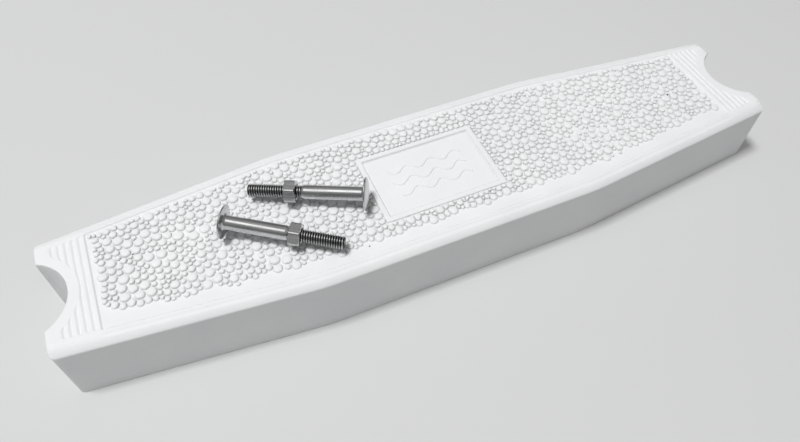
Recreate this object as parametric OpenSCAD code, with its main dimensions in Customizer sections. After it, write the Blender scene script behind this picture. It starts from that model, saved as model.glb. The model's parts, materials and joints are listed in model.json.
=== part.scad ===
// Swimming-pool ladder step: a hollow moulded tread that bridges two upright rail
// tubes, with the two bolts and two nuts that fix it lying loose on top.
// X runs along the step, Y from its front edge to its back edge and Z up.
// The origin is the middle of the step, level with the rim that it stands on.

/* [Tread] */
// Width across each end
end_w = 76; // [66:1:92]
// Width across the straight middle part
mid_w = 105; // [96:1:128]
// Length of the straight middle part
mid_len = 176; // [120:1:230]
// Height of the upright side walls
side_h = 41.5; // [34:0.5:54]
// Radius of the upright corners at the ends
corner_r = 3; // [1:0.5:6]
// Width of the rounded shoulder along each long edge
shoulder_w = 7.5; // [5:0.5:10]
// Rise of that shoulder above the side walls
shoulder_h = 3.6; // [2:0.1:5]

/* [Shell and ribs] */
// Thickness of the side walls
wall = 3.6; // [2.5:0.1:5]
// Thickness of the deck over the hollow underside
deck = 4; // [3:0.1:6]
// Thickness of the end walls that press on the rails
end_wall = 5; // [4:0.1:8]
// Thickness of the ribs
rib = 2.4; // [1.6:0.1:4]
// Distance between the two ribs that run lengthwise
rib_gap = 30; // [24:1:34]
// Number of cells that the cross ribs make along the step
cells = 10; // [8:1:14]
// How far the ribs stop short of the standing rim
rib_lift = 1; // [0.5:0.1:2]

/* [Rails] */
// Outer diameter of the rail tubes
rail_d = 48.3; // [38:0.1:58]
// Distance between the axes of the two rail tubes
rail_cc = 482.6; // [460:0.1:580]
// Clearance between a rail and its seat
rail_gap = 0.35; // [0.1:0.05:1]
// Depth of each round seat, cut into the ends of the tread
seat_depth = 14.2; // [10:0.1:18]
// Clearance across a bolt in the holes of the end walls
hole_gap = 0.6; // [0.2:0.1:2]
// Height of the bolt holes above the standing rim
hole_z = 21.5; // [18:0.5:26]

/* [Top pattern] */
// Distance from each end to the sunk grip field
end_pad = 27.4; // [24:0.1:34]
// Distance from each long edge to the sunk grip field
border_w = 8.2; // [7:0.1:11]
// Depth of the sunk field below the shoulder
field_depth = 0.8; // [0.4:0.1:1.5]
// Height of the pebbles above the sunk field
pebble_h = 1.4; // [0.8:0.1:2.5]
// Plain strip between the pebbles and the front of the field
front_strip = 7.5; // [4:0.5:12]
// Plain strip between the pebbles and the back of the field
back_strip = 1.5; // [1:0.5:8]
// Plain strip between the pebbles and the ends of the field
end_strip = 1.5; // [1:0.5:6]
// Number of cross grooves on each end pad
grooves = 5; // [2:1:6]
// Distance from the end of the field to the middle of the first groove
groove_start = 3; // [2:0.1:4]
// Distance between the cross grooves
groove_pitch = 3.75; // [3:0.05:5]
// Width of a cross groove
groove_w = 1.8; // [0.8:0.1:2.4]
// Depth of a cross groove
groove_depth = 0.7; // [0.3:0.1:1]
// Plain collar round each rail seat, where the grooves stop
collar = 5.7; // [4:0.1:8]

/* [Centre panel] */
// Length of the framed panel
panel_l = 79.6; // [60:0.1:110]
// Width of the framed panel
panel_w = 52.6; // [36:0.1:56]
// Place of the panel's middle along the step
panel_x = -2.2; // [-20:0.1:20]
// Place of the panel's middle across the step
panel_y = -1.1; // [-6:0.1:6]
// Width of the raised frame round the panel
frame_w = 3.4; // [2:0.1:6]
// Depth of the panel's floor below its frame
panel_depth = 0.9; // [0.4:0.1:1.4]

/* [Bolts] */
// Length of a bolt under its head
bolt_len = 68.5; // [60:0.5:82]
// Length of the plain shank
shank_len = 37.1; // [30:0.1:46]
// Diameter of the plain shank
shank_d = 8.4; // [8.2:0.1:8.8]
// Outer diameter of the thread
thread_d = 7.94; // [6:0.01:8.2]
// Distance between the turns of the thread
thread_pitch = 1.411; // [1:0.001:2]
// Diameter of the thin round head
head_d = 19.6; // [17:0.1:24]
// Thickness of the head at its rim
head_rim = 0.9; // [0.6:0.1:1.6]
// Rise of the head's dome above its rim
head_dome = 1.5; // [0.8:0.1:3]

/* [Nuts] */
// Distance across the flats of a nut
nut_af = 12.7; // [12.2:0.1:15.3]
// Thickness of a nut
nut_t = 6.75; // [5:0.05:8]
// Clearance between a nut and the thread
nut_gap = 0.14; // [0.12:0.01:0.3]

/* [Where the loose bolts lie] */
// Gap between the bolts and the tops of the pebbles
rest_gap = 0.3; // [0.2:0.05:0.6]
// Back bolt: place of the head along the step
back_x = -49; // [-60:0.5:-40]
// Back bolt: place of the head across the step
back_y = -10.5; // [-16:0.5:-2]
// Back bolt: direction from head to tip, in degrees
back_yaw = 152; // [140:1:160]
// Back bolt: distance from the shank to the nut
back_nut_at = 2.9; // [0.2:0.1:14]
// Front bolt: place of the head along the step
front_x = -128.5; // [-136:0.5:-118]
// Front bolt: place of the head across the step
front_y = 1.5; // [-6:0.5:6]
// Front bolt: direction from head to tip, in degrees
front_yaw = -33; // [-42:1:-28]
// Front bolt: distance from the shank to the nut
front_nut_at = 0.2; // [0.2:0.1:14]

/* [Hidden] */

rail_x = rail_cc / 2;
seat_r = rail_d / 2 + rail_gap;
seat_x = rail_x - seat_r;
nut_face_x = seat_x - end_wall;
half_len = seat_x + seat_depth;
tread_len = 2 * half_len;
half_mid = mid_len / 2;
taper = atan((mid_w - end_w) / (tread_len - mid_len));
hole_d = max(shank_d, thread_d) + hole_gap;
rim_z = side_h + shoulder_h;
floor_z = rim_z - field_depth;
crown_z = floor_z + pebble_h;
cavity_z = floor_z - deck;
field_x = half_len - end_pad;
cell_len = 2 * nut_face_x / cells;
bolt_r = thread_d / 2;
thread_depth = 0.54 * thread_pitch;
nut_r = nut_af / 2 / cos(30);
over = 1;
hair = 0.01;
arc_steps = 6;
least_corner_r = 0.6;
head_edge = 0.3;
nut_sink = 0.6;
thread_crest = 0.12;

plastic = [0.93, 0.94, 0.95];
steel = [0.72, 0.73, 0.74];

// Half the width of the tread at a distance x from its middle
function half_w(x) = mid_w / 2 - max(0, abs(x) - half_mid) * tan(taper);

// Arc round the end corner of an outline that lies d inside the tread's own
function corner_arc(d) =
    let (r = max(corner_r - d, least_corner_r),
         cx = half_len - d - r,
         cy = half_w(cx) - (d + r) / cos(taper))
    [for (i = [0 : arc_steps])
        let (a = (90 - taper) * i / arc_steps)
        [cx + r * cos(a), cy + r * sin(a)]];

// Quarter of the outline, from the end to the bend in the long edge
function quarter(d) = concat(corner_arc(d), [[half_mid, mid_w / 2 - d]]);
function scaled(p, sx, sy) = [for (q = p) [q[0] * sx, q[1] * sy]];
function reversed(p) = [for (i = [len(p) - 1 : -1 : 0]) p[i]];

// Whole outline of the tread, moved inwards by d
function outline(d) = concat(quarter(d), reversed(scaled(quarter(d), -1, 1)),
    scaled(quarter(d), -1, -1), reversed(scaled(quarter(d), 1, -1)));

// Field that ends at a distance x from the middle, and whose long sides follow the
// front and back edges of the tread at the given distances
function band(x, front, back) = concat(
    [for (at = [-x, -half_mid, half_mid, x]) [at, front - half_w(at)]],
    [for (at = [x, half_mid, -half_mid, -x]) [at, half_w(at) - back]]);

// Places a child at both ends of the tread
module both_ends() {
    children();
    mirror([1, 0, 0]) children();
}

// Rail tube's space at the +X end, grown by g
module rail_space(g = 0) {
    translate([rail_x, 0, -over])
        cylinder(r = seat_r + g, h = crown_z + 2 * over, $fn = 96);
}

// Everything below the shoulder that runs along a line y = 0, inside it towards -Y
module under_shoulder() {
    start = 50;
    profile = [for (i = [0 : arc_steps])
        let (a = start + (90 - start) * i / arc_steps)
        [-shoulder_w * (cos(start) - cos(a)) / cos(start),
         side_h + shoulder_h * (sin(a) - sin(start)) / (1 - sin(start))]];
    rotate([90, 0, 90])
        linear_extrude(height = 2 * tread_len, center = true)
            polygon(concat([[0, -over]], profile,
                [[-2 * mid_w, rim_z], [-2 * mid_w, -over]]));
}

// Room inside the back edge: its straight middle and its two tapering ends
module inside_back_edge() {
    intersection() {
        translate([0, mid_w / 2, 0]) under_shoulder();
        translate([half_mid, mid_w / 2, 0]) rotate([0, 0, -taper]) under_shoulder();
        translate([-half_mid, mid_w / 2, 0]) rotate([0, 0, taper]) under_shoulder();
    }
}

// Solid outer form of the tread, up to the top of its shoulders
module outer_form() {
    intersection() {
        linear_extrude(height = rim_z) polygon(outline(0));
        inside_back_edge();
        mirror([0, 1, 0]) inside_back_edge();
    }
}

// Ribs of the underside, over-long so that the cavity trims them
module ribs() {
    rib_h = cavity_z - rib_lift + over;
    for (side = [-1, 1])
        translate([-half_len, side * rib_gap / 2 - rib / 2, rib_lift])
            cube([tread_len, rib, rib_h]);
    for (i = [1 : cells - 1])
        translate([-nut_face_x + i * cell_len - rib / 2, -mid_w / 2, rib_lift])
            cube([rib, mid_w, rib_h]);
}

// Flat block behind each end wall that the nut is drawn against
module nut_block() {
    translate([nut_face_x, -rib_gap / 2, 0])
        cube([end_wall + over, rib_gap, cavity_z + over]);
}

// Hollow underside
module cavity() {
    difference() {
        translate([0, 0, -over])
            linear_extrude(height = cavity_z + over) polygon(outline(wall));
        both_ends() rail_space(end_wall);
        both_ends() translate([0, 0, -over]) nut_block();
        ribs();
    }
}

// Cross grooves of the +X end pad, stopping at the collar round the rail seat
module end_grooves() {
    difference() {
        for (i = [1 : grooves]) {
            x = field_x + groove_start + (i - 1) * groove_pitch;
            reach = half_w(x) - shoulder_w;
            translate([x - groove_w / 2, -reach, rim_z - groove_depth])
                cube([groove_w, 2 * reach, groove_depth + over]);
        }
        rail_space(collar);
    }
}

// Block of the given size centred on the panel, standing from z up
module panel_block(l, w, z, h) {
    translate([panel_x - l / 2, panel_y - w / 2, z]) cube([l, w, h]);
}

// Raised pad of pebbles, taken as the flat sheet that their crowns touch
module pebble_pad() {
    difference() {
        translate([0, 0, floor_z - deck / 2])
            linear_extrude(height = crown_z - floor_z + deck / 2)
                polygon(band(field_x - end_strip, border_w + front_strip,
                    border_w + back_strip));
        panel_block(panel_l, panel_w, rim_z, pebble_h + over);
        panel_block(panel_l - 2 * frame_w, panel_w - 2 * frame_w,
            rim_z - panel_depth, panel_depth + pebble_h + over);
    }
}

module tread() {
    color(plastic)
        difference() {
            union() {
                difference() {
                    outer_form();
                    translate([0, 0, floor_z])
                        linear_extrude(height = field_depth + over)
                            polygon(band(field_x, border_w, border_w));
                    both_ends() end_grooves();
                    cavity();
                }
                pebble_pad();
            }
            both_ends() rail_space();
            both_ends()
                translate([nut_face_x - over, 0, hole_z])
                    rotate([0, 90, 0])
                        cylinder(d = hole_d, h = seat_r + end_wall, $fn = 48);
        }
}

// Tilt of a bolt that lies on its head's rim and on its nut
function far_face(nut_at) = shank_len + nut_at + nut_t;
function tilt(nut_at) = atan((head_d / 2 - nut_r) / far_face(nut_at));

// Puts a child, drawn with its axis along +X from the head's seat, where it lies
module laid(x, y, yaw, nut_at) {
    t = tilt(nut_at);
    translate([x, y, crown_z + rest_gap + head_d / 2 * cos(t)])
        rotate([0, t, yaw])
            rotate([0, 90, 0])
                children();
}

// Round bolt along +Z: thin domed head below 0, plain shank, then a ridged thread
module bolt() {
    turns = floor((bolt_len - shank_len - thread_pitch) / thread_pitch);
    ridge_start = bolt_len - thread_pitch / 2 - turns * thread_pitch;
    core_r = bolt_r - thread_depth;
    flat = thread_crest / 2;
    head_r = head_d / 2;
    dome = [for (i = [0 : arc_steps])
        let (a = 90 * i / arc_steps)
        [(head_r - head_edge) * sin(a), -head_rim - head_dome * cos(a)]];
    ridges = [for (i = [0 : turns - 1])
        for (p = [[bolt_r, 0.5 - flat], [bolt_r, 0.5 + flat], [core_r, 1 - flat], [core_r, 1 + flat]])
            [p[0], ridge_start + (i + p[1]) * thread_pitch]];
    neck = [[head_r, -head_rim + head_edge], [head_r, 0], [shank_d / 2 + 1, 0.5],
        [shank_d / 2, 1.5]];
    shoulder = [[shank_d / 2, shank_len - 0.6], [core_r, shank_len],
        [core_r, ridge_start + flat * thread_pitch]];
    rotate_extrude($fn = 64)
        polygon(concat(dome, neck, shoulder, ridges,
            [[core_r - 0.4, bolt_len], [0, bolt_len]]));
}

// Hexagonal nut along +Z, with its corners turned off and its bore opened out
module nut() {
    corner_cut = (nut_r - nut_af / 2) * tan(30);
    bore_r = bolt_r + nut_gap;
    difference() {
        intersection() {
            cylinder(r = nut_r, h = nut_t, $fn = 6);
            rotate_extrude($fn = 64)
                polygon([[0, 0], [nut_af / 2, 0], [nut_r, corner_cut],
                    [nut_r, nut_t - corner_cut], [nut_af / 2, nut_t], [0, nut_t]]);
        }
        translate([0, 0, -over]) cylinder(r = bore_r, h = nut_t + 2 * over, $fn = 48);
        for (end = [0, 1])
            translate([0, 0, end * nut_t])
                mirror([0, 0, end])
                    translate([0, 0, -hair])
                        cylinder(r1 = bore_r + nut_sink, r2 = bore_r, h = nut_sink, $fn = 48);
    }
}

module back_bolt() {
    color(steel) laid(back_x, back_y, back_yaw, back_nut_at) bolt();
}

module back_nut() {
    color(steel)
        laid(back_x, back_y, back_yaw, back_nut_at)
            translate([0, 0, shank_len + back_nut_at]) nut();
}

module front_bolt() {
    color(steel) laid(front_x, front_y, front_yaw, front_nut_at) bolt();
}

module front_nut() {
    color(steel)
        laid(front_x, front_y, front_yaw, front_nut_at)
            translate([0, 0, shank_len + front_nut_at]) nut();
}

tread();
back_bolt();
back_nut();
front_bolt();
front_nut();
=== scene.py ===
import json
import math

import bmesh
import bpy
import numpy as np
from mathutils import Matrix, Vector
from mathutils.geometry import delaunay_2d_cdt


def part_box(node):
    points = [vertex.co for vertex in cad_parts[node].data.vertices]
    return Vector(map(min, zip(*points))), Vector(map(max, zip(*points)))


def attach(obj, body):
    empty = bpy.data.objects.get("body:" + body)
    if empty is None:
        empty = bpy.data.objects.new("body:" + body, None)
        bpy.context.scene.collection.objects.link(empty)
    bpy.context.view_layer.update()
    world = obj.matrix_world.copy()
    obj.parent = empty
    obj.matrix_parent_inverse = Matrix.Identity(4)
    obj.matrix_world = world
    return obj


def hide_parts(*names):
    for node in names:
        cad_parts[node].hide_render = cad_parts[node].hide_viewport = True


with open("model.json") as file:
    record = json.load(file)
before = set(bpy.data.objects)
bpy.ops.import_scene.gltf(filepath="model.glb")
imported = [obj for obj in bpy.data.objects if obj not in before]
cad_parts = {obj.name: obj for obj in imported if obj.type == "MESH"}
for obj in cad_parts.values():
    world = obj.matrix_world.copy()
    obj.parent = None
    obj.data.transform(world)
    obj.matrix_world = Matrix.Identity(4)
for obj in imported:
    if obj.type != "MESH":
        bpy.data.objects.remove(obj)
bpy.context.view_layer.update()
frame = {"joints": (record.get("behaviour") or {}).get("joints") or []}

# Swimming-pool ladder step with its loose bolts and nuts. The meshes are worked out
# in millimetres, in the CAD frame, and become metres in new_mesh().
MM = 0.001
SEED = 11

tread_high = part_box("tread")[1] / MM

# ---------------------------------------------------------------- tread sizes
HALF_LEN = tread_high.x
HALF_MID_W = tread_high.y
CROWN_Z = tread_high.z
HALF_END_W = 38.0
HALF_MID = 88.0
BEND = 8.7                 # half the length of the soft bend in each long edge
CORNER_R = 3.0
SIDE_H = 41.5
SHOULDER_W = 7.5
SHOULDER_H = 3.6
SHOULDER_START = 50.0      # degrees of arc left out where the shoulder meets the wall
WALL = 3.6
DECK = 4.0
END_WALL = 5.0
RIB = 2.4
RIB_GAP = 30.0
CELLS = 10
CELL_R = 1.8
RIB_LIFT = 1.0
RAIL_X = 241.3
SEAT_R = 24.5
HOLE_R = 4.5
HOLE_Z = 21.5
HOLE_FLARE = 1.3           # how much wider the hole opens into the nut pocket
END_PAD = 27.4
FIELD_DEPTH = 0.8
PEBBLE_H = 1.4
BORDER_W = 8.2             # long edge to the middle of the step down into the field
FRONT_STRIP = 7.5
BACK_STRIP = 1.5
END_STRIP = 1.5
GROOVES = 5
GROOVE_START = 3.0
GROOVE_PITCH = 3.75
GROOVE_W = 3.0             # width at the top of a rounded cross groove
GROOVE_DEPTH = 0.7
GROOVE_MARGIN = 0.4        # end of a cross groove to the foot of the shoulder
GROOVE_FADE = 1.5          # length over which its end rises out
COLLAR = 5.7
PANEL_L, PANEL_W = 79.6, 52.6
PANEL_X, PANEL_Y = -2.2, -1.1
PANEL_DEPTH = 0.9
FRAME_W = 3.4

RIM_Z = SIDE_H + SHOULDER_H
FLOOR_Z = RIM_Z - FIELD_DEPTH
CAVITY_Z = FLOOR_Z - DECK
PANEL_Z = RIM_Z - PANEL_DEPTH
FIELD_X = HALF_LEN - END_PAD
NUT_FACE_X = RAIL_X - SEAT_R - END_WALL
TAPER = (HALF_MID_W - HALF_END_W) / (HALF_LEN - HALF_MID)

# Fine relief of the top, which the CAD leaves sharp
SIDE_STEP_W = 1.1          # plan width of the step into the field along the long edges
END_STEP_W = 1.1           # and along its ends
LINE_AT = 5.1              # shallow line moulded along each long edge
LINE_W = 3.0
LINE_DEPTH = 0.42
LINE_END = FIELD_X + 2     # where the line has faded out
LINE_FADE = 3.0
PANEL_STEP_W = 0.7         # plan width of the frame's rounded sides
FOOT_AT = 0.6              # frame's inner edge to the fine groove along its foot
FOOT_W = 1.2
FOOT_DEPTH = 0.4
EDGE_R = 0.45              # rounding where the shoulder meets the side wall
END_R = 0.9                # rounding along the end edges
NOTCH_R = 0.7              # rounding along the rail seats


def half_w(x):
    """Half the width of the tread at x, with a soft bend where the taper starts."""
    u = np.abs(x) - HALF_MID
    soft = (np.clip(u, -BEND, BEND) + BEND) ** 2 / (4 * BEND)
    return HALF_MID_W - TAPER * np.where(u > BEND, u, soft)


def smooth(t):
    """Soft step from 0 to 1."""
    t = np.clip(t, 0, 1)
    return t * t * (3 - 2 * t)


def rounding(d, r):
    """How far a rounded edge has dropped at a distance d inside it."""
    inside = np.clip(r - d, 0, r)
    return r - np.sqrt(np.maximum(r * r - inside * inside, 0))


def shoulder(d):
    """Height at a distance d inside a long edge."""
    start = math.radians(SHOULDER_START)
    c = math.cos(start) * (1 - np.clip(d / SHOULDER_W, 0, 1))
    rise = (np.sqrt(1 - c * c) - math.sin(start)) / (1 - math.sin(start))
    return SIDE_H + SHOULDER_H * rise


def hollow(offset, width):
    """Rounded groove section: 1 along its middle, 0 outside its width."""
    return np.cos(np.clip(np.abs(offset) / width, 0, 0.5) * math.pi) ** 2


def groove_reach(x):
    """Distance from the middle line at which a cross groove ends."""
    return half_w(x) - SHOULDER_W - GROOVE_MARGIN


def grooves_cut(x, y):
    """Depth of the cross grooves on the end pads."""
    cut = np.zeros_like(x)
    from_rail = np.hypot(RAIL_X - np.abs(x), y) - SEAT_R - COLLAR
    along = smooth(np.minimum(groove_reach(x) - np.abs(y), from_rail) / GROOVE_FADE)
    for i in range(GROOVES):
        middle = FIELD_X + GROOVE_START + i * GROOVE_PITCH
        cut = np.maximum(cut, GROOVE_DEPTH * hollow(np.abs(x) - middle, GROOVE_W))
    return cut * along


def panel_inside(x, y):
    """Distance inside the outer edge of the framed panel."""
    return np.minimum(PANEL_L / 2 - np.abs(x - PANEL_X), PANEL_W / 2 - np.abs(y - PANEL_Y))


def base_height(x, y):
    """Height of the top without the pebbles and the raised waves."""
    x, y = np.asarray(x, float), np.asarray(y, float)
    d = half_w(x) - np.abs(y)
    seat = np.hypot(RAIL_X - np.abs(x), y) - SEAT_R
    drop = np.maximum(rounding(HALF_LEN - np.abs(x), END_R), rounding(seat, NOTCH_R))
    z = shoulder(d) - np.maximum(rounding(d, EDGE_R), drop)
    z = z - grooves_cut(x, y)
    z = z - LINE_DEPTH * hollow(d - LINE_AT, LINE_W) * smooth((LINE_END - np.abs(x)) / LINE_FADE)
    sunk = smooth((d - BORDER_W) / SIDE_STEP_W + 0.5)
    sunk = sunk * smooth((FIELD_X - np.abs(x)) / END_STEP_W + 0.5)
    z = z - FIELD_DEPTH * sunk
    p = panel_inside(x, y)
    z = z + FIELD_DEPTH * smooth(p / PANEL_STEP_W + 0.5)
    z = z - PANEL_DEPTH * smooth((p - FRAME_W) / PANEL_STEP_W + 0.5)
    return z - FOOT_DEPTH * hollow(p - FRAME_W - FOOT_AT, FOOT_W)


# ---------------------------------------------------------------- mesh helpers
TOUCH = 1e-4               # points of the top nearer than this become one


def new_mesh(name, vertices, faces, sharp=35):
    """Makes an object from millimetre vertices, smooth but for edges over sharp degrees."""
    mesh = bpy.data.meshes.new(name)
    mesh.from_pydata([(x * MM, y * MM, z * MM) for x, y, z in vertices], [], faces)
    mesh.validate()
    obj = bpy.data.objects.new(name, mesh)
    bpy.context.scene.collection.objects.link(obj)
    finish_mesh(obj, sharp)
    return obj


def finish_mesh(obj, sharp):
    """Turns the faces outwards and shades them smooth but for edges over sharp degrees."""
    work = bmesh.new()
    work.from_mesh(obj.data)
    bmesh.ops.recalc_face_normals(work, faces=work.faces)
    work.to_mesh(obj.data)
    work.free()
    obj.data.shade_smooth()
    obj.data.set_sharp_from_angle(angle=math.radians(sharp))


def close_mesh(obj, reach):
    """Joins points nearer than reach, fills open ends and turns the faces outwards."""
    work = bmesh.new()
    work.from_mesh(obj.data)
    bmesh.ops.remove_doubles(work, verts=work.verts, dist=reach)
    bmesh.ops.holes_fill(work, edges=[e for e in work.edges if len(e.link_faces) == 1])
    bmesh.ops.recalc_face_normals(work, faces=work.faces)
    work.to_mesh(obj.data)
    work.free()


def combine(obj, other, operation):
    """Joins a closed mesh to obj, or cuts it out of obj, and drops it."""
    boolean = obj.modifiers.new("combine", "BOOLEAN")
    boolean.operation = operation
    boolean.solver = "MANIFOLD"
    boolean.object = other
    graph = bpy.context.evaluated_depsgraph_get()
    done = bpy.data.meshes.new_from_object(obj.evaluated_get(graph))
    obj.modifiers.clear()
    obj.data = done
    bpy.data.objects.remove(other)


def prism_faces(count, levels, start=0):
    """Faces of a closed stack of rings, with a cap at each end."""
    faces = [tuple(start + i for i in reversed(range(count)))]
    for k in range(levels - 1):
        a = start + k * count
        for i in range(count):
            j = (i + 1) % count
            faces.append((a + i, a + j, a + count + j, a + count + i))
    faces.append(tuple(start + (levels - 1) * count + i for i in range(count)))
    return faces


# ---------------------------------------------------------------- outline
def arc(cx, cy, r, a0, a1, steps):
    """Points on an arc, its two ends among them."""
    return [(cx + r * math.cos(a), cy + r * math.sin(a)) for a in np.linspace(a0, a1, steps)]


def long_edge_xs(x_end, spacing=4.0):
    """Places along a long edge: even ones, and closer ones round the two bends."""
    def even(start, end, count):
        return list(np.linspace(start, end, count + 1))

    bend = even(HALF_MID - BEND, HALF_MID + BEND, 8)
    outer = even(HALF_MID + BEND, x_end, round((x_end - HALF_MID - BEND) / spacing))
    middle = even(0, HALF_MID - BEND, round((HALF_MID - BEND) / spacing))
    right = middle[:-1] + bend + outer[1:]
    return [-x for x in reversed(right[1:])] + right


def quarter_outline():
    """Outline from the rail seat's bottom at +X round to the start of the back edge."""
    slope = math.atan(TAPER)
    cx = HALF_LEN - CORNER_R
    cy = float(half_w(cx)) - CORNER_R / math.cos(slope)
    seat_half = math.sqrt(SEAT_R ** 2 - (RAIL_X - HALF_LEN) ** 2)
    a_mouth = math.atan2(seat_half, RAIL_X - HALF_LEN)
    seat = [(RAIL_X - SEAT_R * math.cos(a), SEAT_R * math.sin(a))
            for a in np.linspace(0, a_mouth, 25)]
    side = [(HALF_LEN, y) for y in np.linspace(seat_half, cy, 6)][1:-1]
    corner = arc(cx, cy, CORNER_R, 0, math.pi / 2 - slope, 8)
    return seat + side + corner


def tread_outline():
    """Closed outline of the tread, anticlockwise."""
    quarter = quarter_outline()
    x_end = quarter[-1][0]
    back = [(x, float(half_w(x))) for x in reversed(long_edge_xs(x_end)[1:-1])]
    left = [(-x, y) for x, y in reversed(quarter)][:-1]
    upper = quarter + back + left
    lower = [(-x, -y) for x, y in upper]
    return upper[1:] + [(-quarter[0][0], 0.0)] + lower[1:] + [quarter[0]]


# ---------------------------------------------------------------- pebbles
PEBBLES = 1220
PEBBLE_RADII = [1.35, 1.8, 2.25, 2.7, 3.2]
PEBBLE_SHARES = [0.17, 0.23, 0.26, 0.2, 0.14]
SCATTER_Y = (-40, 45)      # the field's y range, with some to spare
SETTLE_STEPS = 360
PAIRS_EVERY = 6            # steps between two searches for neighbours
NEAR = 3                   # how far beyond touching a neighbour may be
PUSH = 0.42                # share of an overlap that each circle gives way by
FILL_ROUNDS = 14
FILL_TRIES = 1500
FILL_BEST = 25
FILL_R = (1.1, 2.3)        # smallest and largest pebble put into a gap
PEBBLE_GAP = 0.16          # width of the creases
CREASE = 0.3               # how far they reach below the field
SWELL = 1.08               # how far a pebble fills the corners between its neighbours
CORNERS = 7.0              # how sharply a pebble's sides turn where two creases meet
LEAST_REACH = 0.4
NO_WALL = 99
TILT = 0.12                # most by which a pebble's top leans

# share of a pebble's radius, and share of its height there
PEBBLE_RINGS = [(1.0, 0.0), (0.94, 0.42), (0.82, 0.72), (0.62, 0.9), (0.33, 0.98)]


def field_low(x):
    """Front limit of the pebbles, which wanders and turns in towards the left end."""
    wander = 1.1 * np.sin(0.21 * x + 1.0) + 0.9 * np.sin(0.53 * x) + 0.6 * np.sin(1.3 * x)
    corner = 5.0 * smooth((-x - FIELD_X + 22) / 18)
    return -half_w(x) + BORDER_W + FRONT_STRIP + wander + corner


def field_high(x):
    """Back limit of the pebbles."""
    return half_w(x) - BORDER_W - BACK_STRIP + 0.7 * np.sin(0.37 * x + 2.0)


def field_end(y):
    """Limit of the pebbles at both ends of the field."""
    return FIELD_X - END_STRIP - 1.0 + 0.8 * np.sin(0.45 * y + 1.0) + 0.6 * np.sin(1.1 * y)


def keep_in_field(p, r):
    """Moves circles back into the pebbled field and out of the panel."""
    x_max = field_end(p[:, 1])
    p[:, 0] = np.clip(p[:, 0], -x_max + r, x_max - r)
    p[:, 1] = np.clip(p[:, 1], field_low(p[:, 0]) + r, field_high(p[:, 0]) - r)
    dx = PANEL_L / 2 + r - np.abs(p[:, 0] - PANEL_X)
    dy = PANEL_W / 2 + r - np.abs(p[:, 1] - PANEL_Y)
    hit = (dx > 0) & (dy > 0)
    by_x = hit & (dx < dy)
    by_y = hit & ~by_x
    p[by_x, 0] += (dx * np.where(p[:, 0] > PANEL_X, 1, -1))[by_x]
    p[by_y, 1] += (dy * np.where(p[:, 1] > PANEL_Y, 1, -1))[by_y]


def room_at(q, p, r):
    """Free radius round the points q, among the circles and inside the field."""
    x_max = field_end(q[:, 1])
    room = np.minimum(x_max - np.abs(q[:, 0]), field_high(q[:, 0]) - q[:, 1])
    room = np.minimum(room, q[:, 1] - field_low(q[:, 0]))
    dx = np.abs(q[:, 0] - PANEL_X) - PANEL_L / 2
    dy = np.abs(q[:, 1] - PANEL_Y) - PANEL_W / 2
    room = np.minimum(room, np.maximum(dx, dy))
    gaps = np.hypot(q[:, None, 0] - p[None, :, 0], q[:, None, 1] - p[None, :, 1]) - r[None]
    return np.minimum(room, gaps.min(1))


def close_pairs(p, reach):
    """Index pairs of the points that lie closer than reach."""
    near = np.hypot(p[:, None, 0] - p[None, :, 0], p[:, None, 1] - p[None, :, 1]) < reach
    return np.nonzero(np.triu(near, 1))


def push_apart(p, r, pairs):
    """Moves overlapping circles away from each other."""
    a, b = pairs
    delta = p[a] - p[b]
    dist = np.maximum(np.hypot(delta[:, 0], delta[:, 1]), 1e-6)
    over = np.clip(r[a] + r[b] - dist, 0, None)
    push = PUSH * delta * (over / dist)[:, None]
    np.add.at(p, a, push)
    np.add.at(p, b, -push)


def scatter(rng, count):
    """Random points over the field."""
    return np.column_stack([rng.uniform(-FIELD_X, FIELD_X, count), rng.uniform(*SCATTER_Y, count)])


def pack_pebbles():
    """Close-packed circles of mixed sizes: pushed apart, then the gaps are filled."""
    rng = np.random.RandomState(SEED)
    r = rng.choice(PEBBLE_RADII, PEBBLES, p=PEBBLE_SHARES)
    r = r * rng.uniform(0.94, 1.06, PEBBLES)
    p = scatter(rng, PEBBLES)
    keep_in_field(p, r * SWELL)
    for step in range(SETTLE_STEPS):
        if step % PAIRS_EVERY == 0:
            pairs = close_pairs(p, 2 * r.max() + NEAR)
        push_apart(p, r, pairs)
        keep_in_field(p, r * SWELL)
    least, most = FILL_R
    for _ in range(FILL_ROUNDS):
        q = scatter(rng, FILL_TRIES)
        room = room_at(q, p, r)
        for i in np.argsort(-room)[:FILL_BEST]:
            here = min(room[i], float(room_at(q[i:i + 1], p, r)[0]), most)
            if here > least:
                p = np.vstack([p, q[i]])
                r = np.append(r, here)
    return p, r


def pebble_reach(i, p, r, angles):
    """Distance from a pebble's middle to its foot, pressed flat against its neighbours."""
    delta = p - p[i]
    dist = np.hypot(delta[:, 0], delta[:, 1])
    near = (dist > 0) & (dist < r[i] + r + NEAR)
    d, towards = dist[near], delta[near] / dist[near][:, None]
    face = (d * d + r[i] ** 2 - r[near] ** 2) / (2 * d) - PEBBLE_GAP / 2
    out = np.column_stack([np.cos(angles), np.sin(angles)]) @ towards.T
    wall = np.where(out > 0.05, face / np.maximum(out, 0.05), NO_WALL).min(1, initial=NO_WALL)
    wall = np.maximum(wall, LEAST_REACH)
    return ((SWELL * r[i]) ** -CORNERS + wall ** -CORNERS) ** (-1 / CORNERS)


def ring_count(radius):
    """Number of points round a pebble."""
    if radius < 1.5:
        return 10
    return 12 if radius < 2.2 else 14


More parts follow.
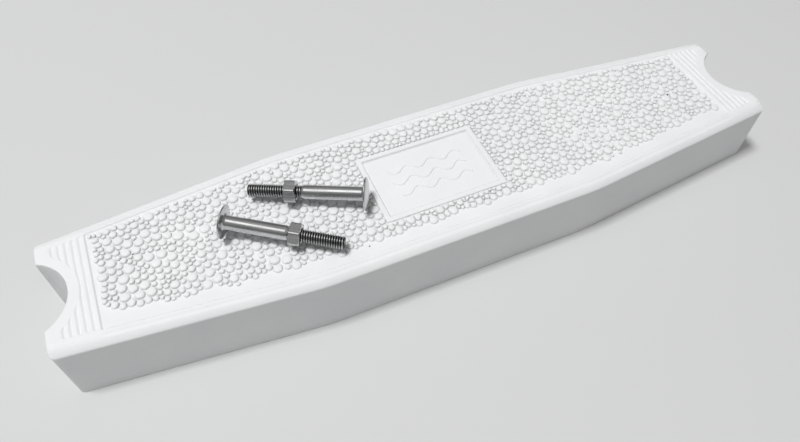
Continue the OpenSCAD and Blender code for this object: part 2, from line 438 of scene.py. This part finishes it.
def pebble_points(p, r):
    """Rings of each pebble: lists of (x, y, z) points and of the edges round its foot."""
    rng = np.random.RandomState(SEED + 1)
    points, edges = [], []
    for number, ((cx, cy), radius) in enumerate(zip(p, r)):
        count = ring_count(radius)
        height = PEBBLE_H * (0.8 + 0.2 * min(radius / 3.0, 1)) * rng.uniform(0.93, 1)
        turn = rng.uniform(0, 2 * math.pi)
        tilt_x, tilt_y = rng.uniform(-TILT, TILT, 2)
        angles = turn + 2 * math.pi * np.arange(count) / count
        reach = pebble_reach(number, p, r, angles)
        sunk = CREASE * smooth((SWELL * radius / reach - 1.02) / 0.1)
        for share, rise in PEBBLE_RINGS:
            first = len(points)
            for a, full, low in zip(angles, reach, sunk):
                out = full * share
                x, y = cx + out * math.cos(a), cy + out * math.sin(a)
                lean = rise * (tilt_x * math.cos(a) + tilt_y * math.sin(a)) * share
                z = min(FLOOR_Z + height * (rise + lean), CROWN_Z)
                points.append((x, y, z - low * (share == 1.0)))
            if share > 0.9:
                edges += [(first + i, first + (i + 1) % count) for i in range(count)]
        points.append((cx, cy, FLOOR_Z + height))
    return points, edges


# ---------------------------------------------------------------- raised waves
WAVE_ROWS = (-9.0, 0.0, 9.0)
WAVE_HALF_L = 24.0
WAVE_LENGTH = 16.0
WAVE_SWING = 2.2
WAVE_W = 2.0
WAVE_H = 0.45
WAVE_STEPS = 60


def round_cap(middle, side, half):
    """Points of the half circle from a line's side point round its end."""
    start = math.atan2(side[1] - middle[1], side[0] - middle[0])
    return arc(*middle, half, start, start - math.pi, 7)[1:-1]


def loop_round(line, half):
    """Closed loop at a distance half round a line, with round ends."""
    left, right = [], []
    last = len(line) - 1
    for i, (x, y) in enumerate(line):
        x0, y0 = line[max(i - 1, 0)]
        x1, y1 = line[min(i + 1, last)]
        n = math.hypot(x1 - x0, y1 - y0)
        nx, ny = -(y1 - y0) / n * half, (x1 - x0) / n * half
        left.append((x + nx, y + ny))
        right.append((x - nx, y - ny))
    end_cap = round_cap(line[-1], left[-1], half)
    start_cap = round_cap(line[0], right[0], half)
    return left + end_cap + right[::-1] + start_cap


def wave_points():
    """Plain raised wave lines in the panel, each a foot loop and a top loop."""
    points, edges = [], []
    for row in WAVE_ROWS:
        line = [(x, row + WAVE_SWING * math.sin(2 * math.pi * x / WAVE_LENGTH))
                for x in np.linspace(-WAVE_HALF_L, WAVE_HALF_L, WAVE_STEPS)]
        for half, z in ((WAVE_W / 2, PANEL_Z), (WAVE_W / 4, PANEL_Z + WAVE_H)):
            first = len(points)
            loop = loop_round(line, half)
            points += [(PANEL_X + x, PANEL_Y + y, z) for x, y in loop]
            edges += [(first + i, first + (i + 1) % len(loop)) for i in range(len(loop))]
    return points, edges


# ---------------------------------------------------------------- top surface
class Plan:
    """Points and lines of the top, seen from above, that a triangulation joins up."""

    def __init__(self):
        self.points, self.edges = [], []

    def add(self, points, edges=()):
        """Adds (x, y, z) points and the edges between them."""
        first = len(self.points)
        self.points += points
        self.edges += [(first + a, first + b) for a, b in edges]

    def line(self, xy, closed=False):
        """Adds a line of plan points, which lie on the plain top."""
        xs, ys = zip(*xy)
        z = base_height(xs, ys)
        count = len(xy)
        edges = [(i, i + 1) for i in range(count - 1)] + ([(count - 1, 0)] if closed else [])
        self.add([(x, y, float(h)) for x, y, h in zip(xs, ys, z)], edges)


def shoulder_lines(plan):
    """Lines that follow both long edges, over the shoulder and the step into the field."""
    inner = [LINE_AT + k * LINE_W / 8 for k in (-4, -2.5, -1, 1, 2.5, 4)]
    step = [BORDER_W + k * SIDE_STEP_W / 8 for k in (-4, -2.7, -1.4, 0, 1.4, 2.7, 4)]
    xs = [x for x in long_edge_xs(HALF_LEN - END_R - 0.1) if abs(x) < HALF_LEN - END_R]
    for d in [EDGE_R * 0.12, EDGE_R * 0.4, EDGE_R, 0.9, 1.5, 2.2, 3.0] + inner + step:
        for side in (-1, 1):
            plan.line([(x, side * (float(half_w(x)) - d)) for x in xs])


def cross_lines(plan):
    """Lines across the tread at both ends, over the field's step and the grooves."""
    ats = [FIELD_X + k * END_STEP_W / 6 for k in (-3, -2, -1, 0, 1, 2, 3)]
    for i in range(GROOVES):
        middle = FIELD_X + GROOVE_START + i * GROOVE_PITCH
        ats += [middle + k * GROOVE_W / 10 for k in (-5, -3.5, -2, -0.7, 0.7, 2, 3.5, 5)]
    for x in ats:
        reach = float(groove_reach(x)) + 0.2
        gap2 = (SEAT_R + NOTCH_R + 0.1) ** 2 - (RAIL_X - x) ** 2
        inner = math.sqrt(gap2) if gap2 > 0 else 0
        fades = [reach - k * 0.5 for k in range(5)]
        ys = sorted(y for y in list(np.linspace(inner, reach - 2.5, 13)) + fades if y >= inner)
        for end in (-1, 1):
            if inner > 0:
                for side in (-1, 1):
                    plan.line([(end * x, side * y) for y in ys])
            else:
                plan.line([(end * x, -y) for y in reversed(ys)] + [(end * x, y) for y in ys[1:]])


def end_lines(plan):
    """Rounded end edges and the rims and collars of the rail seats."""
    for end in (-1, 1):
        for d in (END_R * 0.1, END_R * 0.35, END_R):
            seat = math.sqrt((SEAT_R + 0.9) ** 2 - (RAIL_X - HALF_LEN + d) ** 2)
            top = float(half_w(HALF_LEN - d)) - CORNER_R * 0.7
            for side in (-1, 1):
                plan.line([(end * (HALF_LEN - d), side * y) for y in np.linspace(seat, top, 6)])
        rounded_rim = [NOTCH_R * 0.1, NOTCH_R * 0.35, NOTCH_R]
        for d in rounded_rim + [COLLAR + k * GROOVE_FADE / 3 for k in range(4)]:
            r = SEAT_R + d
            a = math.acos((RAIL_X - HALF_LEN + END_R + 0.1) / r)
            plan.line([(end * (RAIL_X - r * math.cos(t)), r * math.sin(t))
                       for t in np.linspace(-a, a, 49)])


def panel_lines(plan):
    """Both sides of the panel's frame, and the fine groove at its inner foot."""
    rise = [k * PANEL_STEP_W / 6 for k in (-3, -1.5, 0, 1.5, 3)]
    foot = [FRAME_W + FOOT_AT + k * FOOT_W / 6 for k in (-3, -1.5, 0, 1.5, 3)]
    fall = [FRAME_W + k * PANEL_STEP_W / 6 for k in (-3, -1.5)]
    for inset in rise + fall + foot:
        l, w = PANEL_L / 2 - inset, PANEL_W / 2 - inset
        ring = [(x, -w) for x in np.linspace(-l, l, 24)[:-1]]
        ring += [(l, y) for y in np.linspace(-w, w, 16)[:-1]]
        ring += [(x, w) for x in np.linspace(l, -l, 24)[:-1]]
        ring += [(-l, y) for y in np.linspace(w, -w, 16)[:-1]]
        plan.line([(PANEL_X + x, PANEL_Y + y) for x, y in ring], closed=True)


def tread_top():
    """Triangulated top: returns its vertices and faces."""
    plan = Plan()
    plan.line(tread_outline(), closed=True)
    shoulder_lines(plan)
    cross_lines(plan)
    end_lines(plan)
    panel_lines(plan)
    plan.add(*wave_points())
    plan.add(*pebble_points(*pack_pebbles()))
    flat = [Vector((x, y)) for x, y, _ in plan.points]
    vertices, _, faces, origin, _, _ = delaunay_2d_cdt(flat, plan.edges, [], 1, TOUCH)
    xs = np.array([v.x for v in vertices])
    ys = np.array([v.y for v in vertices])
    z = base_height(xs, ys)
    for i, source in enumerate(origin):
        if source:
            z[i] = max(plan.points[s][2] for s in source)
    return list(zip(xs, ys, z)), faces


def tread_body():
    """Closed outer form: the top, the upright walls and a flat underside."""
    vertices, faces = tread_top()
    body = new_mesh("tread_moulding", vertices, faces)
    work = bmesh.new()
    work.from_mesh(body.data)
    loose = [v for v in work.verts if not v.link_faces]
    bmesh.ops.delete(work, geom=loose, context="VERTS")
    rim = [e for e in work.edges if len(e.link_faces) == 1]
    for z in (SIDE_H - 2.0, 0.5, 0.0):
        made = bmesh.ops.extrude_edge_only(work, edges=rim)["geom"]
        for v in (g for g in made if isinstance(g, bmesh.types.BMVert)):
            v.co.z = z * MM
        rim = [g for g in made if isinstance(g, bmesh.types.BMEdge)
               and len(g.link_faces) == 1 and all(abs(v.co.z - z * MM) < 1e-7 for v in g.verts)]
    bmesh.ops.contextual_create(work, geom=rim)
    bmesh.ops.triangulate(work, faces=[f for f in work.faces if len(f.verts) > 4])
    work.to_mesh(body.data)
    work.free()
    return body


# ---------------------------------------------------------------- underside
def rounded(polygon, radius, steps=4):
    """Polygon with each corner turned into an arc of the given radius."""
    out = []
    count = len(polygon)
    for i in range(count):
        p = Vector(polygon[i])
        a = Vector(polygon[i - 1]) - p
        b = Vector(polygon[(i + 1) % count]) - p
        angle = a.angle(b)
        if angle > math.radians(170):
            out.append((p.x, p.y))
            continue
        reach = min(radius / math.tan(angle / 2), 0.45 * min(a.length, b.length))
        r = reach * math.tan(angle / 2)
        centre = p + (a.normalized() + b.normalized()).normalized() * (r / math.sin(angle / 2))
        start = p + a.normalized() * reach - centre
        sweep = start.angle_signed(p + b.normalized() * reach - centre)
        for k in range(steps + 1):
            q = centre + Matrix.Rotation(-sweep * k / steps, 2) @ start
            out.append((q.x, q.y))
    return out


def inset_ring(ring, by):
    """Ring of points moved inwards along its own normals."""
    out = []
    count = len(ring)
    for i in range(count):
        a, p, b = (Vector(ring[(i + k) % count]) for k in (-1, 0, 1))
        n1 = (p - a).normalized().orthogonal()
        n2 = (b - p).normalized().orthogonal()
        n = (n1 + n2).normalized()
        q = p + n * (by / max(n.dot(n1), 0.5))
        out.append((q.x, q.y))
    return out


CELL_LEVELS = [(-1.0, 0.0), (RIB_LIFT + 0.6, 0.0), (CAVITY_Z - 1.5, 0.35),
               (CAVITY_Z - 0.7, 0.55), (CAVITY_Z - 0.2, 1.0), (CAVITY_Z, 1.6)]


def cell_outlines():
    """Plan outlines of the cells between the ribs, for the whole underside."""
    pitch = 2 * NUT_FACE_X / CELLS
    inner, outer = RIB_GAP / 2 - RIB / 2, RIB_GAP / 2 + RIB / 2
    cells = []
    for i in range(CELLS):
        x0 = -NUT_FACE_X + i * pitch + (RIB / 2 if i else 0)
        x1 = -NUT_FACE_X + (i + 1) * pitch - (RIB / 2 if i < CELLS - 1 else 0)
        cells.append([(x0, -inner), (x1, -inner), (x1, inner), (x0, inner)])
        xs = [x0] + [b for b in (-HALF_MID, HALF_MID) if x0 < b < x1] + [x1]
        if i in (0, CELLS - 1):
            continue
        top = [(x, float(half_w(x)) - WALL) for x in reversed(xs)]
        cell = [(x0, outer), (x1, outer)] + top
        cells += [cell, [(x, -y) for x, y in reversed(cell)]]
    x0 = NUT_FACE_X - pitch + RIB / 2
    r = SEAT_R + END_WALL
    x_end = HALF_LEN - WALL
    a0 = math.asin(outer / r)
    a1 = math.acos((RAIL_X - x_end) / r)
    seat = [(RAIL_X - r * math.cos(a), r * math.sin(a)) for a in np.linspace(a0, a1, 9)]
    lobe = [(x0, outer)] + seat + [(x_end, float(half_w(x_end)) - WALL),
                                   (x0, float(half_w(x0)) - WALL)]
    for sx, sy in ((1, 1), (-1, -1), (1, -1), (-1, 1)):
        turned = [(sx * x, sy * y) for x, y in lobe]
        cells.append(turned if sx * sy > 0 else turned[::-1])
    return cells


def underside_cutter():
    """Everything that the cells between the ribs take out."""
    vertices, faces = [], []
    for cell in cell_outlines():
        ring = rounded(cell, CELL_R)
        start = len(vertices)
        for z, by in CELL_LEVELS:
            vertices += [(x, y, z) for x, y in inset_ring(ring, by)]
        faces += prism_faces(len(ring), len(CELL_LEVELS), start)
    return new_mesh("cutter", vertices, faces)


def rim_cutter():
    """Shallow recess that sets the ribs back from the standing rim."""
    x_end = HALF_LEN - WALL
    r = SEAT_R + END_WALL
    a1 = math.acos((RAIL_X - x_end) / r)
    seat = [(RAIL_X - r * math.cos(a), r * math.sin(a)) for a in np.linspace(-a1, a1, 25)]
    xs = [x_end, HALF_MID, -HALF_MID, -x_end]
    back = [(x, float(half_w(x)) - WALL) for x in xs]
    left = [(-x, y) for x, y in reversed(seat)]
    front = [(x, -y) for x, y in reversed(back)]
    ring = seat + back + left + front
    levels = [-1.0, RIB_LIFT]
    vertices = [(x, y, z) for z in levels for x, y in ring]
    return new_mesh("cutter", vertices, prism_faces(len(ring), len(levels)))


def hole_cutter(end):
    """Bolt hole through one end wall."""
    sides = 40
    stations = [(NUT_FACE_X - 1, HOLE_R + HOLE_FLARE), (NUT_FACE_X + 0.3, HOLE_R), (RAIL_X, HOLE_R)]
    vertices = []
    for x, r in stations:
        for i in range(sides):
            a = 2 * math.pi * i / sides
            vertices.append((end * x, end * r * math.cos(a), HOLE_Z + r * math.sin(a)))
    return new_mesh("cutter", vertices, prism_faces(sides, len(stations)))


def make_tread():
    """Tread moulding: the closed outer form, hollowed from below, with its bolt holes."""
    tread = tread_body()
    combine(tread, rim_cutter(), "DIFFERENCE")
    combine(tread, underside_cutter(), "DIFFERENCE")
    for end in (-1, 1):
        combine(tread, hole_cutter(end), "DIFFERENCE")
    finish_mesh(tread, 32)
    return tread


# ---------------------------------------------------------------- hardware
BOLT_LEN = 68.5
SHANK_LEN = 37.1
SHANK_R = 4.2
THREAD_R = 3.97
PITCH = 1.411
THREAD_DEPTH = 0.76
HEAD_R = 9.79
HEAD_RIM = 0.9
HEAD_DOME = 1.5
NUT_AF = 12.7
NUT_T = 6.75
NUT_BORE_R = THREAD_R + 0.14
NUT_FACE = 0.965           # radius of its flat end, as a share of that of its flats
NUT_CHAMFER = 0.55         # at the mouths of its bore
NUT_CORNER_CUT = 0.22      # how much the turning takes off its corners
NUT_AT = {"back": 2.9, "front": 0.2}
NUT_ROLL = {"back": 0.4, "front": 0.54}
BOLT_ROLL = 0.4


def thread_radius(turns):
    """Radius of a 60 degree thread after a number of turns along it."""
    t = np.mod(turns, 1.0)
    ridge = np.abs(t - 0.5) * 2
    share = np.clip((1 - ridge - 0.25) / 0.55, 0, 1)
    return THREAD_R - THREAD_DEPTH * (1 - share)


def thread_mesh(columns=48, per_turn=10):
    """Thread as a sheared grid, so that its lines follow the crest of the helix."""
    z0, z1 = SHANK_LEN - 0.5, BOLT_LEN
    rows = int((z1 - z0) / PITCH * per_turn) + 2 * per_turn
    vertices, faces = [], []
    for k in range(rows + 1):
        for j in range(columns):
            turn = j / columns
            z = z0 + ((k - per_turn) / per_turn + turn) * PITCH
            zc = min(max(z, z0), z1)
            r = float(thread_radius((zc - z0) / PITCH - turn))
            r = min(r, THREAD_R - THREAD_DEPTH + max(z1 - zc, 0) * 0.9)
            r = max(r, THREAD_R - THREAD_DEPTH - 0.05)
            a = 2 * math.pi * turn
            vertices.append((r * math.cos(a), r * math.sin(a), zc))
    for k in range(rows):
        for j in range(columns - 1):
            a = k * columns + j
            faces.append((a, a + 1, a + columns + 1, a + columns))
        if k + per_turn + 1 <= rows:
            a = k * columns + columns - 1
            b = (k + per_turn) * columns
            faces.append((a, b, b + columns, a + columns))
    return vertices, faces


def lathe(profile, sides=72):
    """Closed turned form round Z from (radius, z) points that start and end on it."""
    ring = profile[1:-1]
    vertices = [(0, 0, profile[0][1]), (0, 0, profile[-1][1])]
    for r, z in ring:
        for i in range(sides):
            a = 2 * math.pi * i / sides
            vertices.append((r * math.cos(a), r * math.sin(a), z))
    faces = []
    for i in range(sides):
        j = (i + 1) % sides
        faces.append((0, 2 + j, 2 + i))
        last = 2 + (len(ring) - 1) * sides
        faces.append((1, last + i, last + j))
        for k in range(len(ring) - 1):
            a = 2 + k * sides
            faces.append((a + i, a + j, a + sides + j, a + sides + i))
    return vertices, faces


def bolt_profile():
    """Head, neck, shank and the chamfer down to the thread's core."""
    dome_r = HEAD_R - 0.35
    dome = [(dome_r * math.sin(a), -HEAD_RIM - HEAD_DOME * math.cos(a) ** 1.3)
            for a in np.linspace(0, math.pi / 2, 12)]
    rim = [(HEAD_R - 0.12, -HEAD_RIM + 0.05), (HEAD_R, -HEAD_RIM + 0.28), (HEAD_R, -0.22),
           (HEAD_R - 0.08, -0.06), (HEAD_R - 0.28, 0.0)]
    neck = [(SHANK_R + 1.5, 0.06), (SHANK_R + 0.9, 0.25), (SHANK_R + 0.4, 0.65),
            (SHANK_R + 0.1, 1.15), (SHANK_R, 1.7)]
    shoulder_end = [(SHANK_R, SHANK_LEN - 2.2), (SHANK_R - 0.1, SHANK_LEN - 1.4),
                    (SHANK_R - 0.3, SHANK_LEN - 0.7),
                    (THREAD_R - THREAD_DEPTH - 0.02, SHANK_LEN - 0.05)]
    return dome + rim + neck + shoulder_end + [(0, SHANK_LEN + 0.4)]


def nut_mesh(sides=96):
    """Hexagonal nut whose corners are turned off by a 30 degree cone at both ends."""
    flat_r = NUT_AF / 2
    slope = math.tan(math.radians(30))
    washer_r = flat_r * NUT_FACE
    rings = []
    for i in range(sides):
        a = 2 * math.pi * i / sides
        off = (a + math.pi / 6) % (math.pi / 3) - math.pi / 6
        hex_r = flat_r / math.cos(off)
        hex_r = min(hex_r, flat_r / math.cos(math.pi / 6) - NUT_CORNER_CUT)
        drop = (hex_r - washer_r) * slope
        stations = [(NUT_BORE_R, NUT_CHAMFER), (NUT_BORE_R + 0.6, 0.0), (washer_r, 0.0),
                    (hex_r, drop), (hex_r, NUT_T / 2), (hex_r, NUT_T - drop), (washer_r, NUT_T),
                    (NUT_BORE_R + 0.6, NUT_T), (NUT_BORE_R, NUT_T - NUT_CHAMFER)]
        rings.append([(r * math.cos(a), r * math.sin(a), z) for r, z in stations])
    count = len(rings[0])
    vertices = [v for ring in rings for v in ring]
    faces = []
    for i in range(sides):
        j = (i + 1) % sides
        for k in range(count):
            m = (k + 1) % count
            faces.append((i * count + k, j * count + k, j * count + m, i * count + m))
    return vertices, faces


def joint_named(name):
    """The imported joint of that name."""
    return next(j for j in frame["joints"] if j["name"] == name)


def mark_root_shade(obj):
    """Stores how deep each point of the thread lies, as the mask for the painted shade in the
    thread's roots.
    """
    root_shade = obj.data.attributes.new("root_shade", "FLOAT", "POINT")
    for v in obj.data.vertices:
        r = math.hypot(v.co.x, v.co.y) / MM
        deep = (THREAD_R - r) / THREAD_DEPTH if v.co.z / MM > SHANK_LEN - 0.3 else 0
        root_shade.data[v.index].value = min(max(deep, 0), 1) if r > THREAD_R - 1.2 * THREAD_DEPTH else 0


def lay(obj, which, roll):
    """Moves a piece drawn round Z from the head's seat to where its bolt lies."""
    joint = joint_named(f"{which}_nut_spin")
    axis = Vector(joint["axis"]).normalized()
    to_nut = (SHANK_LEN + NUT_AT[which] + NUT_T / 2) * MM
    seat = Vector(joint["pos_m"]) - axis * to_nut
    turn = axis.to_track_quat("Z", "Y").to_matrix().to_4x4()
    obj.data.transform(Matrix.Translation(seat) @ turn @ Matrix.Rotation(roll, 4, "Z"))
    return obj


def make_bolt(which):
    """Turned head and shank with the thread joined on, laid where the bolt rests."""
    vertices, faces = lathe(bolt_profile())
    bolt = new_mesh(f"{which}_bolt_steel", vertices, faces)
    vertices, faces = thread_mesh()
    thread = new_mesh(f"{which}_thread", vertices, faces)
    close_mesh(thread, 0.0001 * MM)
    combine(bolt, thread, "UNION")
    close_mesh(bolt, 0.001 * MM)
    finish_mesh(bolt, 30)
    mark_root_shade(bolt)
    return lay(bolt, which, BOLT_ROLL)


def make_nut(which):
    """Nut, laid where it sits on its bolt's thread."""
    vertices, faces = nut_mesh()
    for_bolt = [(x, y, z + SHANK_LEN + NUT_AT[which]) for x, y, z in vertices]
    nut = new_mesh(f"{which}_nut_steel", for_bolt, faces, 25)
    return lay(nut, which, NUT_ROLL[which])


# ---------------------------------------------------------------- materials
class NodeTree:
    """Adds nodes to a material or a world; an input is a plain value or a linked socket."""

    def __init__(self, owner):
        owner.use_nodes = True
        self.nodes, self.links = owner.node_tree.nodes, owner.node_tree.links

    def feed(self, socket, value):
        """Links a socket to an input, or sets the input to a plain value."""
        if isinstance(value, bpy.types.NodeSocket):
            self.links.new(value, socket)
        else:
            socket.default_value = value

    def add(self, kind, inputs, **settings):
        """New node with its settings, and its inputs by name or by number."""
        node = self.nodes.new(kind)
        for name, value in settings.items():
            setattr(node, name, value)
        for socket, value in inputs.items():
            self.feed(node.inputs[socket], value)
        return node

    def coords(self, kind="Object"):
        return self.add("ShaderNodeTexCoord", {}).outputs[kind]

    def noise(self, coords, scale, detail=3.0, rough=0.5):
        inputs = {"Vector": coords, "Scale": scale, "Detail": detail, "Roughness": rough}
        return self.add("ShaderNodeTexNoise", inputs).outputs["Fac"]

    def mapped(self, coords, change, value):
        """Coordinates with one change, such as a Rotation or a Scale."""
        return self.add("ShaderNodeMapping", {"Vector": coords, change: value}).outputs["Vector"]

    def remap(self, value, low, high, out_low, out_high):
        """Value moved from one range to another, and kept inside it."""
        inputs = {"Value": value, "From Min": low, "From Max": high, "To Min": out_low,
                  "To Max": out_high}
        return self.add("ShaderNodeMapRange", inputs).outputs["Result"]

    def mix(self, factor, a, b):
        """Colour from a, where factor is 0, to b, where it is 1."""
        return self.add("ShaderNodeMix", {"Factor": factor, 6: a, 7: b}, data_type="RGBA").outputs[2]

    def plus(self, a, b):
        return self.add("ShaderNodeMath", {0: a, 1: b}).outputs[0]

    def bump(self, height, distance, strength, over=None):
        """Normal of a fine relief, on top of another one if it is given."""
        inputs = {"Height": height, "Distance": distance, "Strength": strength}
        if over:
            inputs["Normal"] = over
        return self.add("ShaderNodeBump", inputs).outputs["Normal"]

    def hollows(self, distance, low, high):
        """Mask for painted shade: 0 deep in a crease or groove of the piece itself, 1 on its open
        faces.
        """
        shade = self.add("ShaderNodeAmbientOcclusion", {"Distance": distance}, samples=8,
                         only_local=True)
        return self.remap(shade.outputs["AO"], low, high, 0, 1)

    def specks(self, coords, per_metre, radius):
        """0 on a few small dark specks of dirt, 1 elsewhere."""
        cells = self.add("ShaderNodeTexVoronoi", {"Vector": coords, "Scale": per_metre},
                         voronoi_dimensions="2D")
        edge = radius * per_metre
        return self.remap(cells.outputs["Distance"], edge * 0.7, edge, 0, 1)


PLASTIC_SHADES = (0.76, 0.767, 0.778, 1), (0.79, 0.793, 0.798, 1)
# painted shade: the grey below is laid into the plastic's creases and grooves, where shade falls, as
# far as the reach below
PLASTIC_CREASE_SHADE = (0.63, 0.63, 0.62, 1)
PLASTIC_SPECK = (0.05, 0.045, 0.04, 1)
CREASE_SHADE_REACH = 0.0016      # metres, as are all lengths in the materials
SPECKS_PER_METRE = 9
SPECK_R = 0.00055
STEEL_SHADES = (0.52, 0.52, 0.53, 1), (0.68, 0.68, 0.69, 1)
# painted shade: near black laid into the roots of the thread
STEEL_ROOT_SHADE = (0.07, 0.07, 0.07, 1)
FLOOR_SHADE = (0.6, 0.6, 0.6, 1)


def material(name):
    """New material with one shader: returns it, its node tree and the shader's inputs."""
    mat = bpy.data.materials.new(name)
    tree = NodeTree(mat)
    tree.nodes.clear()
    shader = tree.add("ShaderNodeBsdfPrincipled", {})
    tree.add("ShaderNodeOutputMaterial", {"Surface": shader.outputs["BSDF"]})
    return mat, tree, shader.inputs


def white_plastic():
    """White moulded plastic: cloudy tone, painted shade in the creases, a few specks, fine stipple.
    """
    mat, tree, inputs = material("white_plastic")
    coords = tree.coords()
    cloud = tree.noise(coords, 35, 4)
    tone = tree.mix(tree.remap(cloud, 0.35, 0.65, 0, 1), *PLASTIC_SHADES)
    # painted shade: creases and grooves are greyed by how enclosed they are
    crease_shaded = tree.mix(tree.hollows(CREASE_SHADE_REACH, 0.25, 0.85), PLASTIC_CREASE_SHADE, tone)
    dotted = tree.mix(tree.specks(coords, SPECKS_PER_METRE, SPECK_R), PLASTIC_SPECK, crease_shaded)
    tree.feed(inputs["Base Color"], dotted)
    grain = tree.noise(coords, 1500, 3, 0.6)
    stipple = tree.noise(coords, 620, 2)
    tree.feed(inputs["Roughness"], tree.remap(stipple, 0.3, 0.7, 0.38, 0.54))
    dimples = tree.bump(stipple, 0.00022, 0.6)
    tree.feed(inputs["Normal"], tree.bump(grain, 0.00006, 0.5, dimples))
    return mat


def bright_steel(which):
    """Bright drawn steel, with fine marks along the bolt and painted shade in the thread's roots."""
    mat, tree, inputs = material(f"{which}_bright_steel")
    axis = Vector(joint_named(f"{which}_nut_spin")["axis"])
    upright = axis.rotation_difference(Vector((0, 0, 1))).to_euler()
    along = tree.mapped(tree.coords(), "Rotation", upright)
    inputs["Metallic"].default_value = 1.0
    drawn = tree.noise(tree.mapped(along, "Scale", (1, 1, 0.06)), 900, 3, 0.6)
    cloud = tree.noise(along, 120, 3)
    tone = tree.mix(tree.remap(drawn, 0.3, 0.7, 0, 1), *STEEL_SHADES)
    # painted shade: the thread's roots are darkened to near black by their depth
    root_shade = tree.add("ShaderNodeAttribute", {}, attribute_name="root_shade").outputs["Fac"]
    tree.feed(inputs["Base Color"], tree.mix(tree.remap(root_shade, 0.4, 0.9, 0, 1), tone, STEEL_ROOT_SHADE))
    tree.feed(inputs["Roughness"], tree.remap(cloud, 0.3, 0.7, 0.17, 0.3))
    tree.feed(inputs["Normal"], tree.bump(drawn, 0.00003, 0.35))
    return mat


# ---------------------------------------------------------------- studio, in metres
FLOOR_HALF = 40.0
FLOOR_DROP = 0.0002        # keeps the floor's face clear of the rim's
KEY_AT = (-0.85, 0.05, 3.0)
KEY_SIZE = (0.6, 0.5)
KEY_WATTS = 72
KEY_COLOUR = (0.985, 0.992, 1.0)
SKY_COLOUR = (1.0, 1.0, 0.985, 1)
SKY_LOW, SKY_HIGH = 0.02, 0.42     # strength just over the horizon's glow, and overhead
SKY_PATCH = 1.5                    # added round the key, for soft highlights
SKY_HORIZON = 0.22                 # added along the horizon, as a pale backdrop


def make_floor():
    """Plain pale floor that reaches to the horizon."""
    mat, _, inputs = material("studio_floor")
    inputs["Base Color"].default_value = FLOOR_SHADE
    inputs["Roughness"].default_value = 0.9
    mesh = bpy.data.meshes.new("studio_floor")
    corners = [(-1, -1), (1, -1), (1, 1), (-1, 1)]
    mesh.from_pydata([(x * FLOOR_HALF, y * FLOOR_HALF, -FLOOR_DROP) for x, y in corners],
                     [], [(0, 1, 2, 3)])
    mesh.materials.append(mat)
    floor = bpy.data.objects.new("studio_floor", mesh)
    bpy.context.scene.collection.objects.link(floor)


def make_key():
    """Soft key light over the step; its reflection comes from the sky's patch instead."""
    light = bpy.data.lights.new("key", "AREA")
    light.shape = "RECTANGLE"
    light.size, light.size_y = KEY_SIZE
    light.energy = KEY_WATTS
    light.color = KEY_COLOUR
    key = bpy.data.objects.new("key", light)
    key.location = KEY_AT
    key.rotation_euler = (-Vector(KEY_AT)).to_track_quat("-Z", "Y").to_euler()
    key.visible_glossy = False
    bpy.context.scene.collection.objects.link(key)


def make_sky():
    """Soft sky: a pale horizon, a dark band over it, brighter overhead and round the key."""
    world = bpy.data.worlds.new("studio")
    tree = NodeTree(world)
    direction = tree.coords("Generated")
    up = tree.add("ShaderNodeSeparateXYZ", {"Vector": direction}).outputs["Z"]
    to_key = tree.add("ShaderNodeVectorMath", {0: direction, 1: Vector(KEY_AT).normalized()},
                      operation="DOT_PRODUCT").outputs["Value"]
    patch = tree.remap(to_key, 0.93, 0.985, 0, SKY_PATCH)
    horizon = tree.remap(up, 0.1, 0.26, SKY_HORIZON, 0)
    glow = tree.plus(tree.remap(up, 0, 1, SKY_LOW, SKY_HIGH), patch)
    background = tree.nodes["Background"]
    background.inputs["Color"].default_value = SKY_COLOUR
    tree.feed(background.inputs["Strength"], tree.plus(glow, horizon))
    bpy.context.scene.world = world


# Camera of the photo: where it stands over the step, in millimetres, and how it is turned
CAMERA_AT = (-131.3, -238.1, 353.1)
CAMERA_TILT = 36.766       # degrees up from straight down
CAMERA_ROLL = -0.783
CAMERA_HEADING = -23.730
CAMERA_LENS = 29.82


def make_camera():
    """Camera at the photo's viewing angle."""
    data = bpy.data.cameras.new("photo_view")
    data.lens = CAMERA_LENS
    data.sensor_width = 36
    data.clip_start = 0.01
    camera = bpy.data.objects.new("photo_view", data)
    camera.location = Vector(CAMERA_AT) * MM
    turns = (CAMERA_TILT, CAMERA_ROLL, CAMERA_HEADING)
    camera.rotation_euler = [math.radians(turn) for turn in turns]
    bpy.context.scene.collection.objects.link(camera)
    bpy.context.scene.camera = camera


# ---------------------------------------------------------------- assembly
def dress(obj, mat, body, node):
    """Gives a piece its material, its body and the CAD node that it replaces."""
    obj.data.materials.clear()
    obj.data.materials.append(mat)
    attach(obj, body)
    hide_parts(node)


make_camera()
make_sky()
make_key()
make_floor()
bpy.context.scene.view_settings.view_transform = "Standard"

dress(make_tread(), white_plastic(), "step", "tread")
for which in ("back", "front"):
    steel = bright_steel(which)
    dress(make_bolt(which), steel, f"{which}_bolt", f"{which}_bolt")
    dress(make_nut(which), steel, f"{which}_nut", f"{which}_nut")
